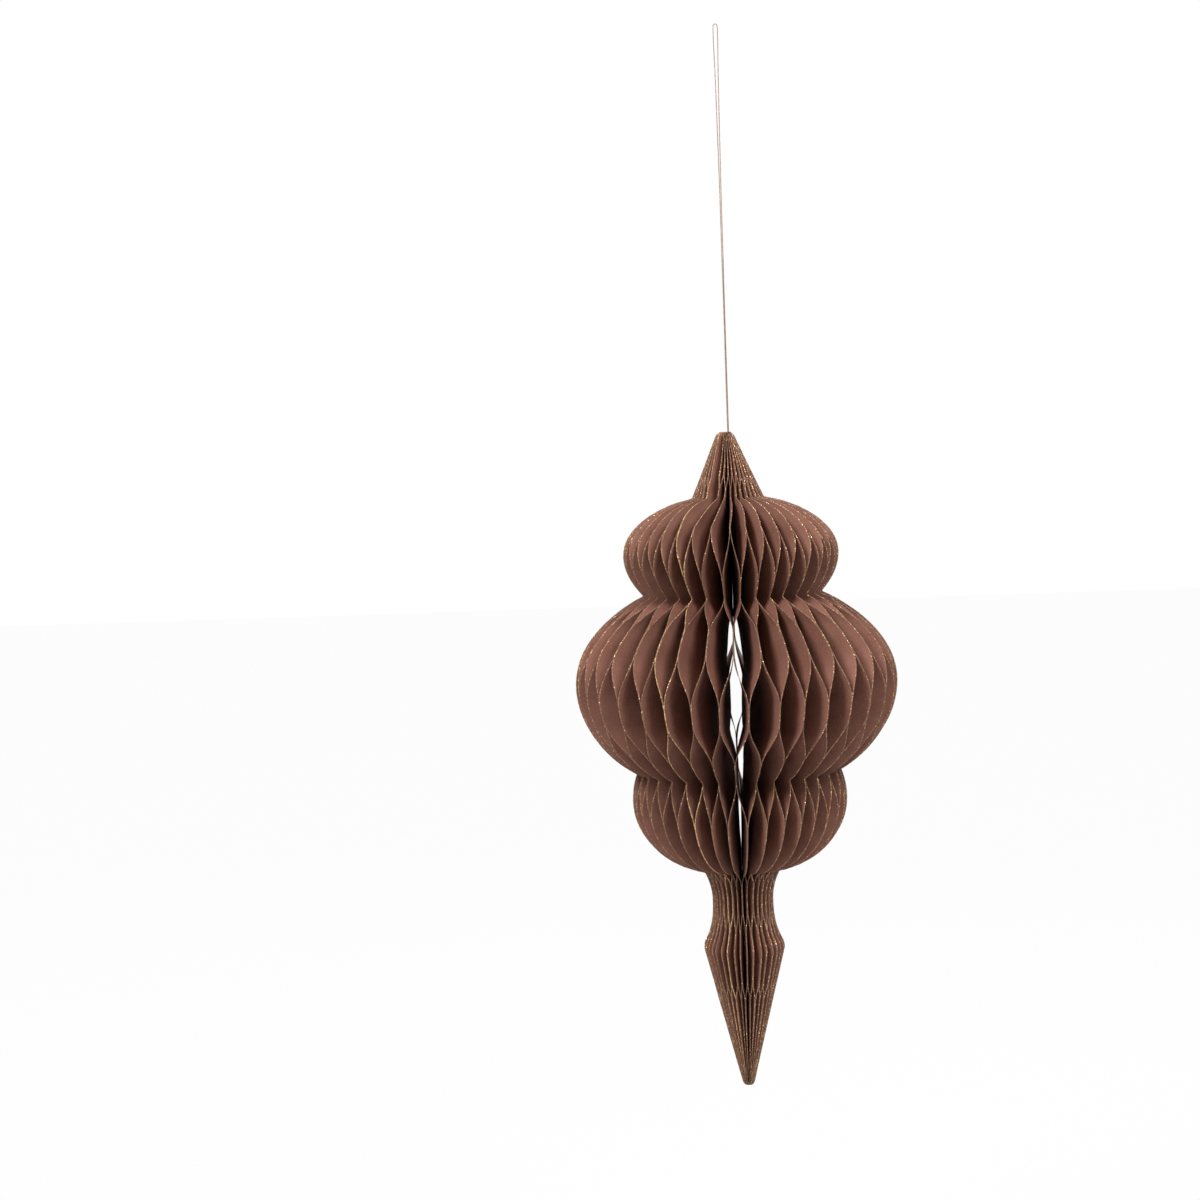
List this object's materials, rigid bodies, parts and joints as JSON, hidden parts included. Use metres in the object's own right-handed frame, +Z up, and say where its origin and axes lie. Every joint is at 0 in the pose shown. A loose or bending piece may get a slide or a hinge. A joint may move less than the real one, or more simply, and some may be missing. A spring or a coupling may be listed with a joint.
{
  "type": "hanging honeycomb paper ornament",
  "caption": "Finial-shaped hanging ornament of glittered card sheets, glued in staggered bands into open honeycomb cells round a hollow core, hung on a doubled cord",
  "frame": {"origin": "the point under the top bend of the cord's loop, where a hook or a twig holds it", "axes": "+Z up along the ornament's axis, -Y the front that the picture shows, +X to the right in it"},
  "size_m": [0.2716, 0.2716, 0.8998],
  "materials": {
    "glitter_card": "matte reddish-brown card with fine glitter that shows gold along the cut edges",
    "cord": "thin twisted gold and tan thread"
  },
  "bodies": {
    "root": {"paper_honeycomb": "glitter_card", "hanging_cord": "cord", "cord_knot": "cord"}
  },
  "joints": []
}
